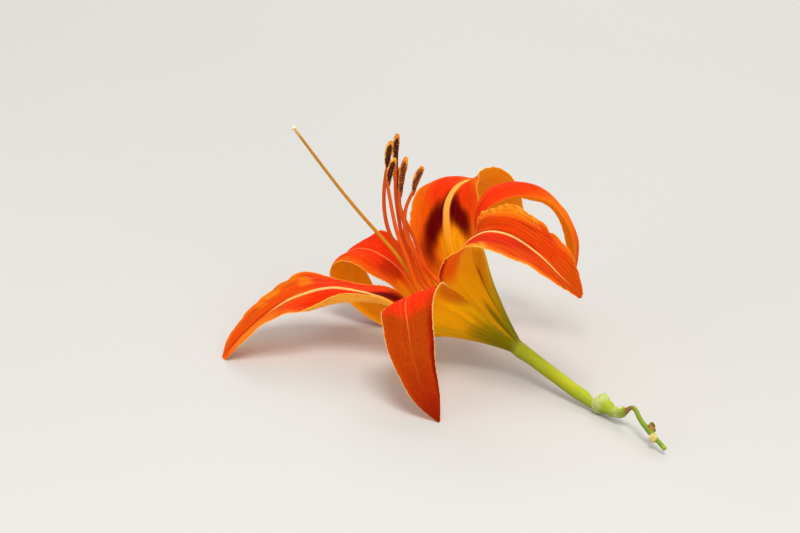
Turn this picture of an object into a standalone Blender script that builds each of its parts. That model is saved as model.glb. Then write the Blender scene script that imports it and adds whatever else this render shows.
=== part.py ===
import bpy
import numpy as np
from math import cos, pi, radians, sin
from mathutils import Matrix, Vector

for old in list(bpy.data.objects):
    bpy.data.objects.remove(old)

daylily = bpy.data.collections.new("daylily")
bpy.context.scene.collection.children.link(daylily)
layers = bpy.context.view_layer.layer_collection.children
bpy.context.view_layer.active_layer_collection = layers[daylily.name]

# The picture's scale, the viewing distance and the flower's lie. Lengths here are in mm.
STEP = 0.27
VIEW_DISTANCE = 810.0
VIEW_CENTRE = (-31.05, 21.47)
LOOK_DOWN = 21.0
LEAN = 5.0
SHIFT = (19.9, -6.4, 9.5)

# The flower's axis as the picture shows it, and how far it turns away from the viewer. The
# tube's top is the start. Petals and sepals leave it on one funnel, whose radius grows with
# the height as a + b * height + c * height ** 2.
AXIS_SEEN = (-0.78, 0.6258)
AXIS_TURN = 14.0
FUNNEL = (1.75, 0.37, 0.006)
FUNNEL_HEIGHTS = (0.35, 5.5, 11, 16)
HALF_WIDTH_TURN = 36

# A blade's thickness, how far petals lie inside and sepals outside the funnel, the rows and
# columns of faces, and the share of the length in which a margin's waves grow and fade.
BLADE = 0.6
LAYER_GAP = 0.45
PETAL_GRID = (40, 12)
SEPAL_GRID = (34, 10)
WAVE_EASE = 0.12
WAVE_POWER = 2.5

# Each blade row is midrib, lower edge and upper edge, each as picture column, picture row
# and mm away, then how far each half bows towards the inside of the flower, in mm. A wave is
# the margin (-1 lower, 1 upper), its height in mm, the number along the blade, its start as a
# share of one wave, and the shares of the length between which it runs.
TEPALS = {
    "petal_left": dict(turn=183, petal=True, rows=[
        ((418, 328, 5.3), (427, 325, 13), (417.5, 318, -2.5), (-1, -1.1)),
        ((395, 305, 7), (400, 293, 13.5), (391, 304, -1), (-.7, -2)),
        ((362, 292, 7), (366, 284.5, 16.5), (365, 295, -1), (-.5, -3)),
        ((335, 288, 7), (334, 278, 17.5), (335, 295.5, -1), (-.3, -3)),
        ((306, 293, 6.5), (300, 272.5, 15), (306, 311, -2.5), (0, -1.2)),
        ((283, 303.5, 5), (272, 289.5, 13.5), (288, 313.5, -5), (0, 0)),
        ((258, 322, 3), (246, 313, 10), (266, 323, -5), (0, 0)),
        ((235, 345, 0.5), (227, 341, 4.5), (243, 342.5, -4.5), (0, 0)),
        ((223.5, 360, -1.5), (222, 357.5, -1), (225.5, 360, -2.5), (0, 0))],
        waves=((-1, 0.35, 7.5, 0.1, 0.42, 0.95), (1, 0.3, 6.5, 0.55, 0.66, 0.95))),
    "petal_top": dict(turn=63, petal=True, rows=[
        ((465, 278, 17.5), (479, 260, 12), (448, 301, 19.5), (-1, -1)),
        ((451, 255, 21), (475, 240, 12.5), (427, 271, 24), (-1, -1)),
        ((447, 232, 22.5), (472, 220, 13.5), (412, 238, 27), (-1, -1)),
        ((447, 206, 24), (473, 199, 14), (411.5, 209, 29.5), (-.5, -.5)),
        ((457, 187, 27), (475, 183, 16), (424, 190, 33.5), (0, 1)),
        ((478, 180, 32.5), (481, 173, 20.5), (452, 184, 40), (0, 1)),
        ((496, 189, 37), (495, 166, 25.5), (480, 202, 44), (0, .5)),
        ((509, 208, 40), (513, 180, 30), (496, 222, 46), (0, .5)),
        ((517, 231, 40), (524, 208, 33), (507, 242, 44), (0, 0)),
        ((520, 255, 38), (522.5, 253, 37.5), (517.5, 256.5, 38.5), (0, 0))],
        waves=((-1, 0.4, 7.0, 0.3, 0.5, 0.95), (1, 0.4, 6.0, 0.0, 0.45, 0.95))),
    "petal_right": dict(turn=303, petal=True, rows=[
        ((459, 264, -6), (440, 283, -8), (471.5, 252.5, -.8), (-1, -1)),
        ((467, 243, -11), (445, 260, -14.5), (476, 231, -4), (-1, -.7)),
        ((487, 232, -15), (469, 247.5, -22), (487, 213.5, -7), (0, 0)),
        ((512, 236.5, -18), (500, 252.5, -26), (514, 206, -11), (0, 0)),
        ((532, 249, -20.5), (522, 262, -28.5), (541, 221.5, -13.5), (0, 0)),
        ((552, 267, -22), (545, 275.5, -28), (563, 243, -16.5), (0, 0)),
        ((570, 286, -22), (564, 289, -25), (577.5, 268, -19), (0, 0)),
        ((581, 298, -21), (579, 298.5, -21.5), (583, 294, -20.5), (0, 0))],
        waves=((1, 0.4, 7.5, 0.35, 0.36, 0.95), (-1, 0.2, 5.5, 0.0, 0.45, 0.95))),
    "sepal_front": dict(turn=243, petal=False, rows=[
        ((428, 306, -7.5), (415, 327, -1), (449, 287, -9), (-1, -1)),
        ((413, 296, -14), (398, 311, -9), (440, 283.5, -15.5), (0, 0)),
        ((406, 302, -20), (383, 312, -17), (434, 298, -19), (.6, .6)),
        ((407.5, 325, -24.5), (382.5, 326, -23), (433, 320, -22.5), (.8, .8)),
        ((411, 350, -27), (387.5, 350, -26), (434.5, 345, -25), (.8, .8)),
        ((418, 376, -28.5), (398, 376.5, -28), (436.5, 371, -26.5), (.6, .6)),
        ((428, 400, -29), (413, 401, -28.5), (440, 397, -27.5), (.4, .4)),
        ((438.5, 423.5, -28.5), (435, 422.5, -28.5), (441, 420.5, -28), (0, 0))]),
    "sepal_rear": dict(turn=123, petal=False, rows=[
        ((435, 318, 17.5), (455, 298, 20.5), (421, 332, 11.5), (-1, -1)),
        ((414, 291, 20.5), (428, 270, 26), (402, 298, 15.5), (-.5, -.5)),
        ((400, 270, 21.5), (402, 245, 27), (386, 282, 17.5), (0, 0)),
        ((382, 256, 24), (385, 231, 29), (369, 273.5, 19), (0, 0)),
        ((360, 248.5, 27), (368, 235, 33.5), (351, 262.5, 21), (.5, .5)),
        ((343, 256, 30), (355, 253, 37), (335, 262, 23.5), (.8, .8)),
        ((346, 275, 32.5), (365, 270, 37.5), (330, 276, 27), (.8, .8)),
        ((359, 296, 33), (374, 287, 37), (345, 300, 28), (.6, .6)),
        ((381, 316, 32.5), (390, 306, 35.5), (370, 321.5, 29), (.4, .4)),
        ((413, 338, 31), (414, 336, 32), (410.5, 338.5, 30.5), (0, 0))]),
    "sepal_right": dict(turn=3, petal=False, rows=[
        ((483, 252, 6.5), (474.5, 250, 0.4), (480, 262, 14.5), (-1, -1)),
        ((477.5, 230, 8), (474, 238, 2.5), (476, 234, 15), (0, 0)),
        ((479, 206, 9.5), (483, 215, 4), (481, 206, 16), (1, 1)),
        ((494, 187.5, 12), (498, 202, 6.5), (499, 193, 19), (1, 1)),
        ((520, 182.5, 15), (519, 196.5, 9), (518, 197, 20), (1, 1)),
        ((547, 191, 18), (541, 199, 11.5), (538, 201, 23), (1, 1)),
        ((566.5, 215.5, 20), (562, 213.5, 13), (556.5, 213, 25), (1, 1)),
        ((577, 243, 21), (574, 242, 14), (567, 243, 26), (1, 1)),
        ((576, 264, 21), (575, 263, 15.5), (568, 262, 25), (.6, .6)),
        ((571, 283, 20), (572.5, 282.5, 19), (569, 282.5, 20.5), (0, 0))]),
}

# Each stamen: where round the funnel its foot sits, how far out, the filament's path by
# picture column, picture row and mm away, and the anther's far end. All six pass the neck
# of the funnel at the same height and distance from the axis.
FOOT_HEIGHT = 8
NECK = (15, 3.6)
FILAMENT_R = (0.66, 0.52)
ANTHER_R = 0.82
ANTHER_FLAT = 0.76
ANTHER_BEND = 0.5
PIECE_GAP = 0.3
STAMENS = [
    (183, 3.4, [(446, 300, 7), (427, 289, 8.5), (415, 276, 9), (405, 262, 9.5), (396, 247, 10),
                (387, 225, 11), (384, 205, 12), (384.5, 185, 13), (386, 171, 14)], (390.5, 141, 15)),
    (123, 4.2, [(446, 293, 11), (427, 284, 13), (408, 250, 16), (402, 235, 17), (399, 220, 18),
                (395.5, 190, 19.5), (395.5, 168, 20.5)], (397.5, 134, 22)),
    (243, 4.2, [(444, 308, 1), (424, 297, 0), (409, 264, 1.5), (397, 232, 4.5), (392, 210, 6.5),
                (387.5, 185, 8.5)], (395.5, 158, 10)),
    (3, 4.2, [(452, 292, 6), (434, 278, 9), (412, 245, 12), (403, 220, 14), (399.5, 205, 15),
              (399.5, 196, 15.5)], (406.5, 157, 17)),
    (303, 3.4, [(450, 298, 2), (431, 287, 3.5), (415, 255, 4.5), (407, 240, 5), (404.5, 222, 5.5),
                (406.5, 206, 6), (411.5, 194, 6)], (422, 166, 6)),
    (63, 3.4, [(452, 286, 12), (433, 276, 15), (415, 240, 19), (402, 213, 22), (397.5, 192, 24)],
     (398, 167, 25.5)),
]

# The style's path, its foot's height over the tube, its radii, and the stigma's rings as mm
# past the style's end and radius.
STYLE = [(464, 306, 4.4), (440, 303, 4), (422, 291, 4), (407, 268, 4.5), (390, 245.5, 6), (370, 223, 8),
         (340, 187, 11), (320, 161, 13), (296, 129.3, 14)]
STYLE_FOOT = 0.65
STYLE_R = [.6, .62, .62, .6, .58, .56, .52, .48, .45, .42, .4]
STIGMA = [(0.25, 0.62), (0.75, 0.72), (1.15, 0.4)]

# The tube under the bloom, its top by height and radius in mm and the rest by path and radius,
# and the knobby stalk that follows it.
TUBE_TOP = [(0, 2.65), (-1.5, 2.4)]
TUBE = [((526, 353.5, -1.3), 2.05), ((545, 367.5, -4), 1.9), ((563, 381, -7.1), 1.85),
        ((577, 391.5, -9.7), 1.85), ((585, 397.5, -11.3), 1.65), ((591.3, 403.8, -12.8), 1.3)]
STEM = [((594, 405.2, -13.4), 1.3), ((596.4, 405.7, -14), 2.05), ((601.5, 405.2, -15.1), 2.65),
        ((607.5, 408.5, -16.8), 2.0), ((612.5, 412.5, -18.2), 1.4), ((619, 413.8, -20), 1.7),
        ((624, 412.8, -21.5), 1.25), ((627.5, 409.8, -22.4), 0.7), ((631.5, 407.8, -23.5), 0.6),
        ((635.5, 410, -25), 0.62), ((639, 417, -27), 0.65), ((645, 426, -29.7), 0.7),
        ((652.3, 434.5, -32.3), 1.0), ((657, 440, -33.8), 0.62), ((661, 444.5, -35), 0.6),
        ((665, 449, -36), 0.62)]

# Rings along the pieces and sides around them.
FILAMENT_RINGS, ANTHER_RINGS, STYLE_RINGS, TUBE_RINGS, STEM_RINGS = 26, 11, 57, 18, 48
FILAMENT_SIDES, ANTHER_SIDES, STYLE_SIDES, TUBE_SIDES, STEM_SIDES = 8, 12, 8, 16, 12

# Colour and roughness of each kind of piece.
SKINS = {
    "petal": ((0.80, 0.13, 0.01), 0.5),
    "sepal": ((0.82, 0.10, 0.008), 0.5),
    "filament": ((0.82, 0.16, 0.015), 0.45),
    "anther": ((0.12, 0.03, 0.008), 0.8),
    "style": ((0.84, 0.34, 0.04), 0.45),
    "floral_tube": ((0.44, 0.52, 0.02), 0.45),
    "stem": ((0.34, 0.46, 0.05), 0.5),
}


def unit(v):
    return v / np.linalg.norm(v)


def picture_point(column, row, away):
    grow = 1 + away / VIEW_DISTANCE
    return np.array([VIEW_CENTRE[0] + (column - 400) * STEP * grow, away,
                     VIEW_CENTRE[1] - (row - 266.5) * STEP * grow])


def turn_of_lie():
    c, s = cos(radians(LOOK_DOWN)), sin(radians(LOOK_DOWN))
    nod = np.array([[1, 0, 0], [0, c, s], [0, -s, c]])
    c, s = cos(radians(LEAN)), sin(radians(LEAN))
    return np.array([[c, 0, -s], [0, 1, 0], [s, 0, c]]) @ nod


def to_world(points, lowest):
    w = np.asarray(points, float) @ turn_of_lie().T + np.array(SHIFT)
    w[..., 2] = np.maximum(w[..., 2], lowest)
    return w / 1000


AXIS = np.array([AXIS_SEEN[0], 0, AXIS_SEEN[1]]) * cos(radians(AXIS_TURN))
AXIS = AXIS + np.array([0, sin(radians(AXIS_TURN)), 0])
RIGHT = np.array([AXIS_SEEN[1], 0, -AXIS_SEEN[0]])
AWAY = np.cross(RIGHT, AXIS)
AWAY = AWAY if AWAY[1] > 0 else -AWAY


def ring_point(turn, height, radius):
    return AXIS * height + (RIGHT * cos(radians(turn)) + AWAY * sin(radians(turn))) * radius


def funnel_radius(height):
    return FUNNEL[0] + FUNNEL[1] * height + FUNNEL[2] * height ** 2


def spline(knots, values):
    knots = np.asarray(knots, float)
    values = np.asarray(values, float)
    shape = values.shape[1:]
    values = values.reshape(len(knots), -1)
    n, gap = len(knots), np.diff(knots)
    a, r = np.eye(n), np.zeros_like(values)
    for i in range(1, n - 1):
        a[i, i - 1:i + 2] = gap[i - 1], 2 * (gap[i - 1] + gap[i]), gap[i]
        r[i] = 6 * ((values[i + 1] - values[i]) / gap[i] - (values[i] - values[i - 1]) / gap[i - 1])
    m = np.linalg.solve(a, r)

    def at(x):
        x = np.atleast_1d(np.asarray(x, float))
        i = np.clip(np.searchsorted(knots, x, side="right") - 1, 0, n - 2)
        left, right, g = (knots[i + 1] - x)[:, None], (x - knots[i])[:, None], gap[i][:, None]
        out = (m[i] * left ** 3 + m[i + 1] * right ** 3) / (6 * g)
        out += (values[i] / g - m[i] * g / 6) * left + (values[i + 1] / g - m[i + 1] * g / 6) * right
        return out.reshape((len(x),) + shape)
    return at


ACROSS = (-1, -0.5, 0, 0.5, 1)


def blade_rails(t):
    off = -LAYER_GAP if t["petal"] else LAYER_GAP
    rails = []
    for height in FUNNEL_HEIGHTS:
        radius = funnel_radius(height) + off
        rails.append([ring_point(t["turn"] + q * HALF_WIDTH_TURN, height, radius) for q in ACROSS])
    rails += [[picture_point(*low), None, picture_point(*mid), None, picture_point(*high)]
              for mid, low, high, bow in t["rows"]]
    for i in range(len(FUNNEL_HEIGHTS), len(rails)):
        low, mid, high = rails[i][0], rails[i][2], rails[i][4]
        along = unit(rails[min(i + 1, len(rails) - 1)][2] - rails[i - 1][2])
        bow = t["rows"][i - len(FUNNEL_HEIGHTS)][3]
        rails[i][1] = (mid + low) / 2 + unit(np.cross(along, mid - low)) * bow[0]
        rails[i][3] = (mid + high) / 2 + unit(np.cross(along, high - mid)) * bow[1]
    return np.array(rails)


def blade_points(t, rows, columns):
    rails = blade_rails(t)
    knots = np.concatenate([[0], np.cumsum(np.linalg.norm(np.diff(rails[:, 2], axis=0), axis=1))])
    along = spline(knots, rails)
    fine = np.linspace(0, knots[-1], 600)
    arc = np.concatenate([[0], np.cumsum(np.linalg.norm(np.diff(along(fine)[:, 2], axis=0), axis=1))])
    part = np.linspace(0, 1, rows + 1)
    rails = along(np.interp(part * arc[-1], arc, fine))
    side = np.linspace(-1, 1, columns + 1)
    grid = spline(ACROSS, rails.transpose(1, 0, 2))(side).transpose(1, 0, 2)
    normal = np.cross(np.gradient(grid, axis=0), np.gradient(grid, axis=1))
    normal /= np.maximum(np.linalg.norm(normal, axis=2), 1e-9)[..., None]
    for edge, size, count, start, first, last in t.get("waves", ()):
        swell = np.clip((part - first) / WAVE_EASE, 0, 1) * np.clip((last - part) / WAVE_EASE, 0, 1)
        wave = size * swell * np.sin(2 * pi * (count * part + start))
        outwards = np.clip(side * edge, 0, 1) ** WAVE_POWER
        grid = grid + wave[:, None, None] * outwards[None, :, None] * normal
    return grid


def skin(name):
    colour, roughness = SKINS[name]
    material = bpy.data.materials.get(name) or bpy.data.materials.new(name)
    material.use_nodes = True
    shader = material.node_tree.nodes["Principled BSDF"]
    shader.inputs["Base Color"].default_value = (*colour, 1)
    shader.inputs["Roughness"].default_value = roughness
    shader.inputs["Metallic"].default_value = 0
    return material


def add_blade(name, t):
    rows, columns = PETAL_GRID if t["petal"] else SEPAL_GRID
    points = to_world(blade_points(t, rows, columns), BLADE / 2)
    bpy.ops.mesh.primitive_grid_add(x_subdivisions=columns, y_subdivisions=rows, size=2)
    ob = bpy.context.object
    ob.name = ob.data.name = name
    for v in ob.data.vertices:
        i, j = round((v.co.y + 1) / 2 * rows), round((v.co.x + 1) / 2 * columns)
        v.co = points[i, j]
    ob.data.shade_smooth()
    ob.modifiers.new("Triangles", "TRIANGULATE")
    thick = ob.modifiers.new("Thickness", "SOLIDIFY")
    thick.thickness = BLADE / 1000
    thick.offset = 0
    ob.data.materials.append(skin("petal" if t["petal"] else "sepal"))


def add_tube(name, line, radii, sides, look):
    # The bevel is 1 mm deep, so each point's radius is its real one in mm.
    curve = bpy.data.curves.new(name, "CURVE")
    curve.dimensions = "3D"
    curve.bevel_depth = 0.001
    curve.bevel_resolution = sides // 2 - 2
    curve.use_fill_caps = True
    strand = curve.splines.new("POLY")
    strand.points.add(len(line) - 1)
    for point, place, radius in zip(strand.points, line, radii):
        point.co = (*place, 1)
        point.radius = radius
    curve.materials.append(skin(look))
    ob = bpy.data.objects.new(name, curve)
    daylily.objects.link(ob)
    return ob


def smooth_line(path, radii, count):
    # A radius for each point of the path follows it, and a shorter or longer list is spread evenly.
    path = np.asarray(path, float)
    knots = np.concatenate([[0], np.cumsum(np.linalg.norm(np.diff(path, axis=0), axis=1))])
    where = np.linspace(0, knots[-1], count)
    if len(radii) == len(path):
        return spline(knots, path)(where), spline(knots, radii)(where)
    return spline(knots, path)(where), np.interp(where, np.linspace(0, knots[-1], len(radii)), radii)


def add_filament(name, turn, radius, path):
    foot = [ring_point(turn, FOOT_HEIGHT, radius), ring_point(turn, *NECK)]
    path = foot + [picture_point(*p) for p in path]
    line, radii = smooth_line(path, FILAMENT_R, FILAMENT_RINGS)
    add_tube(name, to_world(line, 0), radii, FILAMENT_SIDES, "filament")


def add_anther(name, foot, end):
    # A tube bent a little along its own x and pressed flat, then turned into its place.
    part = np.linspace(0, 1, ANTHER_RINGS)
    reach = end - foot
    bend = unit(np.cross(reach, (0, 1, 0)))
    length = np.linalg.norm(reach) - PIECE_GAP
    line = np.stack([part * length, ANTHER_BEND * np.sin(pi * part), 0 * part], -1) / 1000
    radii = ANTHER_R * (0.25 + 0.75 * np.sin(pi * (0.03 + 0.94 * part)) ** 0.6)
    ob = add_tube(name, line, radii, ANTHER_SIDES, "anther")
    directions = turn_of_lie() @ np.array([unit(reach), bend, np.cross(unit(reach), bend)]).T
    place = to_world(foot + unit(reach) * PIECE_GAP, 0)
    turned = Matrix(directions.tolist())
    ob.matrix_world = Matrix.LocRotScale(Vector(place), turned, Vector((1, 1, ANTHER_FLAT)))


def add_pistil():
    path = [AXIS * STYLE_FOOT] + [picture_point(*p) for p in STYLE]
    line, radii = smooth_line(path, STYLE_R, STYLE_RINGS)
    tip = line[-1] + unit(line[-1] - line[-2]) * np.array([[along] for along, r in STIGMA])
    radii = np.append(radii, [r for along, r in STIGMA])
    add_tube("pistil", to_world(np.vstack([line, tip]), 0), radii, STYLE_SIDES, "style")


def add_stalk(name, start, rows, count, sides):
    # A point lies no lower than its own radius, so the stalk rests on the ground and stays above it.
    path = [point for point, radius in start] + [picture_point(*p) for p, radius in rows]
    line, radii = smooth_line(path, [radius for p, radius in start + rows], count)
    add_tube(name, to_world(line, radii), radii, sides, name)


for name, t in TEPALS.items():
    add_blade(name, t)

for k, (turn, radius, path, far_end) in enumerate(STAMENS, 1):
    add_filament("filament_%d" % k, turn, radius, path)
    add_anther("anther_%d" % k, picture_point(*path[-1]), picture_point(*far_end))

add_pistil()
tube_top = [(AXIS * height, radius) for height, radius in TUBE_TOP]
add_stalk("floral_tube", tube_top, TUBE, TUBE_RINGS, TUBE_SIDES)
add_stalk("stem", [], STEM, STEM_RINGS, STEM_SIDES)
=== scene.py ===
import bpy
import numpy as np
from math import cos, pi, radians, sin
from mathutils import Matrix, Vector, noise


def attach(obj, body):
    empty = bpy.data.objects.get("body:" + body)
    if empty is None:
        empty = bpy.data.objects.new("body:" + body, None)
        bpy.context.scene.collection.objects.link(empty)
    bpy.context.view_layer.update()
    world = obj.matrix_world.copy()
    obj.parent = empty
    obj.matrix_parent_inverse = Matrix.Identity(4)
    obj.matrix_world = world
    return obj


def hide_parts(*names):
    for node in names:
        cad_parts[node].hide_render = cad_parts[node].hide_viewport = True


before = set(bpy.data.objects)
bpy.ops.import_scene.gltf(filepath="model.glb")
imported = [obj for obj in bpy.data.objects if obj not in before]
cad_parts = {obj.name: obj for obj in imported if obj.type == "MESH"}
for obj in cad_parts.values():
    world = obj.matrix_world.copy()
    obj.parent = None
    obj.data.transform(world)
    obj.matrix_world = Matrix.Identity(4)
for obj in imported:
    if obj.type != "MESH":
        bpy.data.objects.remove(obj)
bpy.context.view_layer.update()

print("flower frame loaded,", len(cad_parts), "nodes")

# How the flower lies, how it is seen and how its throat widens. Lengths are in mm until they go into a mesh.
lie = dict(lookDown=21.0, lean=5.0, shift=(19.9, -6.4, 9.5), axisLeft=0.78, axisUp=0.6258, axisTurn=14.0)
view = dict(step=0.27, middle=(400, 266.5), distance=810.0, centre=(-31.05, 21.47), lens=135.0, sensor=36.0)
funnel = dict(foot=1.75, slope=0.37, flare=0.006)


def turnOfLie():
    c, s = cos(radians(lie["lookDown"])), sin(radians(lie["lookDown"]))
    nod = np.array([[1, 0, 0], [0, c, s], [0, -s, c]])
    c, s = cos(radians(lie["lean"])), sin(radians(lie["lean"]))
    return np.array([[c, 0, -s], [0, 1, 0], [s, 0, c]]) @ nod


turn = turnOfLie()


def toWorld(points, lowest=0.0):
    # from the picture's frame to where the flower lies, in metres, and never under the surface
    w = np.asarray(points, float) @ turn.T + np.array(lie["shift"])
    w[..., 2] = np.maximum(w[..., 2], lowest)
    return w / 1000


def picturePoint(column, row, away):
    # what the photo shows at this pixel, so many mm behind the flower's middle
    grow = 1 + away / view["distance"]
    return np.array([view["centre"][0] + (column - view["middle"][0]) * view["step"] * grow, away,
                     view["centre"][1] - (row - view["middle"][1]) * view["step"] * grow])


def unit(v):
    return v / np.linalg.norm(v)


axisTurn = radians(lie["axisTurn"])
axis = np.array([-lie["axisLeft"] * cos(axisTurn), sin(axisTurn), lie["axisUp"] * cos(axisTurn)])
axisRight = np.array([lie["axisUp"], 0, lie["axisLeft"]])
axisAway = np.cross(axisRight, axis)
axisAway = axisAway if axisAway[1] > 0 else -axisAway


def ringPoint(around, height, radius):
    return axis * height + (axisRight * cos(radians(around)) + axisAway * sin(radians(around))) * radius


def funnelRadius(height):
    return funnel["foot"] + funnel["slope"] * height + funnel["flare"] * height ** 2


def spline(knots, values):
    # a natural cubic through the values
    knots = np.asarray(knots, float)
    values = np.asarray(values, float)
    shape = values.shape[1:]
    values = values.reshape(len(knots), -1)
    count, gap = len(knots), np.diff(knots)
    system, jump = np.eye(count), np.zeros_like(values)
    for i in range(1, count - 1):
        system[i, i - 1:i + 2] = gap[i - 1], 2 * (gap[i - 1] + gap[i]), gap[i]
        jump[i] = 6 * ((values[i + 1] - values[i]) / gap[i] - (values[i] - values[i - 1]) / gap[i - 1])
    bend = np.linalg.solve(system, jump)

    def at(x):
        x = np.atleast_1d(np.asarray(x, float))
        i = np.clip(np.searchsorted(knots, x, side="right") - 1, 0, count - 2)
        left, right, g = (knots[i + 1] - x)[:, None], (x - knots[i])[:, None], gap[i][:, None]
        out = (bend[i] * left ** 3 + bend[i + 1] * right ** 3) / (6 * g)
        out += (values[i] / g - bend[i] * g / 6) * left + (values[i + 1] / g - bend[i + 1] * g / 6) * right
        return out.reshape((len(x),) + shape)
    return at


def smoothStep(x, low, high):
    t = np.clip((np.asarray(x, float) - low) / (high - low), 0, 1)
    return t * t * (3 - 2 * t)


def ripple(x, seed, slow, fast, count=9):
    # an uneven wave between about -1 and 1, the same each run
    rng = np.random.default_rng(seed)
    beat, phase = rng.uniform(slow, fast, count), rng.uniform(0, 2 * pi, count)
    return np.sin(2 * pi * np.asarray(x)[..., None] * beat + phase).sum(-1) / count ** 0.5


class Value:
    # a shader socket that can stand in a sum
    def __init__(self, tree, socket):
        self.tree, self.socket = tree, socket

    def put(self, operation, *terms):
        node = self.tree.nodes.new("ShaderNodeMath")
        node.operation = operation
        for slot, term in zip(node.inputs, terms):
            if isinstance(term, Value):
                self.tree.links.new(term.socket, slot)
            else:
                slot.default_value = term
        return Value(self.tree, node.outputs[0])

    def __add__(self, other):
        return self.put("ADD", self, other)

    def __radd__(self, other):
        return self.put("ADD", other, self)

    def __sub__(self, other):
        return self.put("SUBTRACT", self, other)

    def __rsub__(self, other):
        return self.put("SUBTRACT", other, self)

    def __mul__(self, other):
        return self.put("MULTIPLY", self, other)

    def __rmul__(self, other):
        return self.put("MULTIPLY", other, self)

    def __truediv__(self, other):
        return self.put("DIVIDE", self, other)

    def __abs__(self):
        return self.put("ABSOLUTE", self)


class Finish:
    # a new material with its Principled shader
    def __init__(self, name, **constants):
        self.material = bpy.data.materials.new(name)
        self.material.use_nodes = True
        self.tree = self.material.node_tree
        self.shader = self.tree.nodes["Principled BSDF"]
        for socket, value in constants.items():
            self.shader.inputs[socket.replace("_", " ")].default_value = value

    def node(self, kind, settings=None, sockets=None, out=0):
        node = self.tree.nodes.new("ShaderNode" + kind)
        for key, value in (settings or {}).items():
            if key == "stops":
                ramp = node.color_ramp
                while len(ramp.elements) < len(value):
                    ramp.elements.new(1.0)
                for element, (place, colour) in zip(ramp.elements, value):
                    element.position = place
                    element.color = (*colour, 1)
            else:
                setattr(node, key, value)
        for key, value in (sockets or {}).items():
            if isinstance(value, Value):
                self.tree.links.new(value.socket, node.inputs[key])
            else:
                if isinstance(value, tuple) and len(value) == 3 and node.inputs[key].type == "RGBA":
                    value = (*value, 1)
                node.inputs[key].default_value = value
        return Value(self.tree, node.outputs[out])

    def mix(self, low, high, share):
        # a Mix node's colours are its sockets 6 and 7, and its output 2
        return self.node("Mix", {"data_type": "RGBA"}, {0: share, 6: low, 7: high}, 2)

    def shade(self, colour, amount):
        # darker or lighter by a factor
        grey = self.node("CombineColor", sockets={0: amount, 1: amount, 2: amount})
        settings = {"data_type": "RGBA", "blend_type": "MULTIPLY"}
        return self.node("Mix", settings, {0: 1.0, 6: colour, 7: grey}, 2)

    def ramp(self, stops, value):
        return self.node("ValToRGB", {"stops": stops}, {0: value})

    def rise(self, value, low, high):
        return self.node("MapRange", {"interpolation_type": "SMOOTHSTEP"}, {0: value, 1: low, 2: high})

    def surface(self):
        # the place on a piece's own UV map, across 0 to 1 and along 0 to 1
        uv = self.node("TexCoord", out=2)
        return self.node("SeparateXYZ", sockets={0: uv}), self.node("SeparateXYZ", sockets={0: uv}, out=1)

    def place(self):
        # Object coordinates, in metres
        return self.node("TexCoord", out=3)

    def blotch(self, vector, scale, detail=2.0, rough=0.5):
        sockets = {"Vector": vector, "Scale": scale, "Detail": detail, "Roughness": rough}
        return self.node("TexNoise", sockets=sockets)

    def stretched(self, a, b, c=0.0):
        return self.node("CombineXYZ", sockets={0: a, 1: b, 2: c})

    def attribute(self, name):
        return self.node("Attribute", {"attribute_name": name}, out=2)

    def patch(self, side, along, centre, reach, slant=0.0):
        # 1 inside a slanted ellipse on the blade and 0 outside it
        a = (side - centre[0] - (along - centre[1]) * slant) / reach[0]
        b = (along - centre[1]) / reach[1]
        return 1 - self.rise(a * a + b * b, 0.05, 1.0)

    def close(self, colour, rough, height=None, strength=0.3, reach=0.0002):
        self.tree.links.new(colour.socket, self.shader.inputs["Base Color"])
        if isinstance(rough, Value):
            self.tree.links.new(rough.socket, self.shader.inputs["Roughness"])
        else:
            self.shader.inputs["Roughness"].default_value = rough
        if height is not None:
            bump = self.node("Bump", sockets={"Strength": strength, "Distance": reach, "Height": height})
            self.tree.links.new(bump.socket, self.shader.inputs["Normal"])
        return self.material


# Degrees past which a fold shows as an edge, and how near in metres a seam's points are merged.
joining = dict(bladeAngle=50, tubeAngle=60, seam=0.000004)


def deselect():
    for ob in bpy.context.selected_objects:
        ob.select_set(False)


def applyAll(ob):
    deselect()
    ob.select_set(True)
    bpy.context.view_layer.objects.active = ob
    for modifier in list(ob.modifiers):
        bpy.ops.object.modifier_apply(modifier=modifier.name)


def keepPiece(ob, node):
    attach(ob, "root")
    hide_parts(node)


def addSheet(name, points):
    # a grid of faces laid through rows of points, and each vertex's row and column
    rows, columns = points.shape[0] - 1, points.shape[1] - 1
    deselect()
    bpy.ops.mesh.primitive_grid_add(x_subdivisions=columns, y_subdivisions=rows, size=2)
    ob = bpy.context.object
    ob.name = ob.data.name = name
    flat = np.empty(len(ob.data.vertices) * 3)
    ob.data.vertices.foreach_get("co", flat)
    flat = flat.reshape(-1, 3)
    i = np.rint((flat[:, 1] + 1) / 2 * rows).astype(int)
    j = np.rint((flat[:, 0] + 1) / 2 * columns).astype(int)
    ob.data.vertices.foreach_set("co", points[i, j].ravel())
    ob.data.update()
    return ob, i, j


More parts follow.
